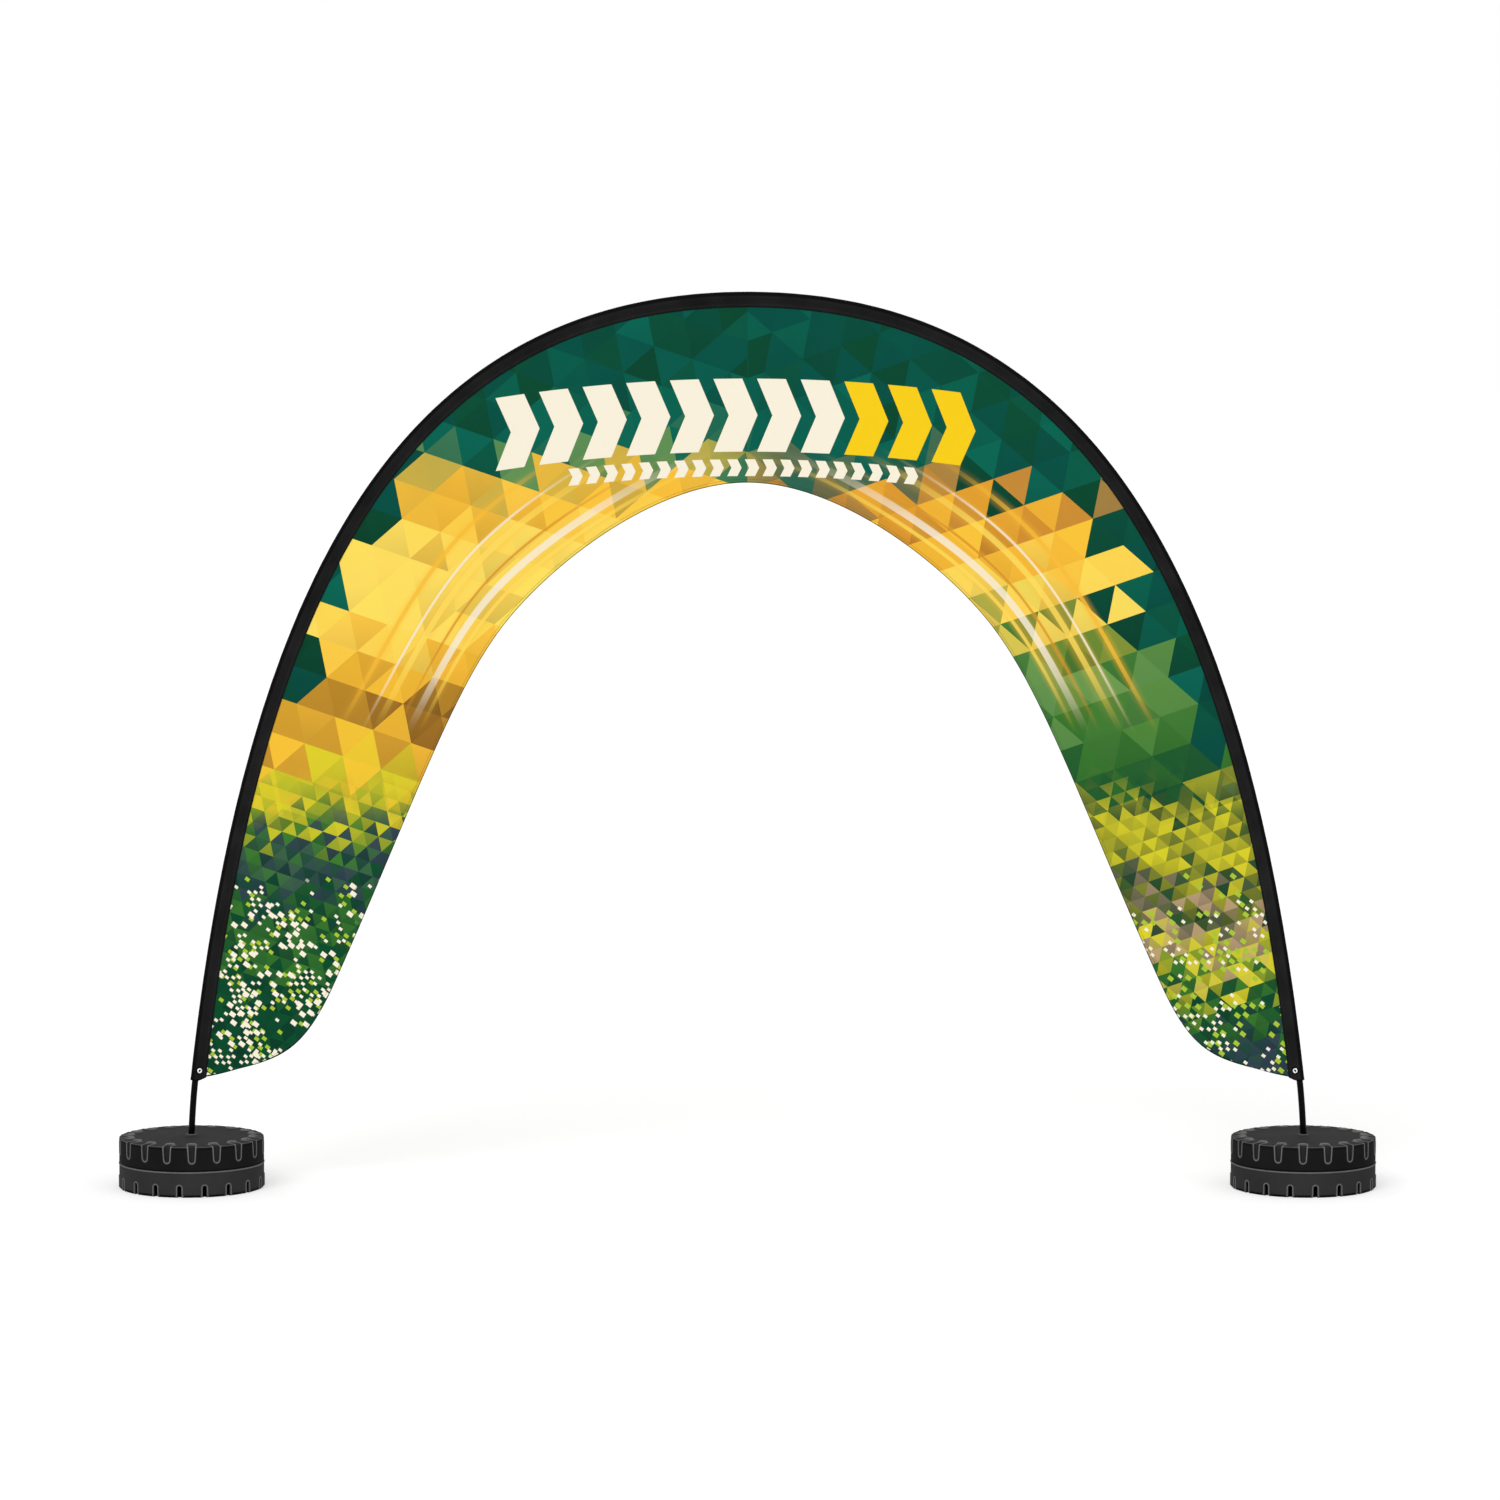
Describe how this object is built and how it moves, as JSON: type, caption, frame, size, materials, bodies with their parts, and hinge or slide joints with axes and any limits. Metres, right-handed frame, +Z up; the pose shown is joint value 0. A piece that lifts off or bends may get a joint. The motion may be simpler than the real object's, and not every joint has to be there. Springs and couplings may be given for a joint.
{
  "type": "arch flag with bent pole and weighted bases",
  "caption": "Printed cloth arch flag over a walk-through gateway: a curved panel sewn into a dark sleeve, on a bent pole that stands in round weighted bases.",
  "frame": {"origin": "on the ground, midway between the two bases, in the plane of the cloth", "axes": "+Z up; X runs from the left base to the right base; Y runs through the gateway, with the front towards -Y"},
  "size_m": [3.916, 0.45, 2.785],
  "materials": {
    "printed_cloth": "smooth polyester knit with a soft sheen, printed right through in teal, gold, green and slate",
    "sleeve_cloth": "dark grey woven polyester, lightly puckered, dull",
    "pole": "black fibreglass rod, glossy",
    "eyelet": "bright nickel plate",
    "base_upper": "black moulded plastic with a fine grain and a low sheen",
    "base_lower": "charcoal moulded plastic with a fine grain and a low sheen"
  },
  "bodies": {
    "root": {"panel": "printed_cloth", "sleeve": "sleeve_cloth", "pole": "pole", "eyelet_left": "eyelet", "eyelet_right": "eyelet", "base_left_upper": "base_upper", "base_left_lower": "base_lower", "base_right_upper": "base_upper", "base_right_lower": "base_lower"}
  },
  "joints": []
}
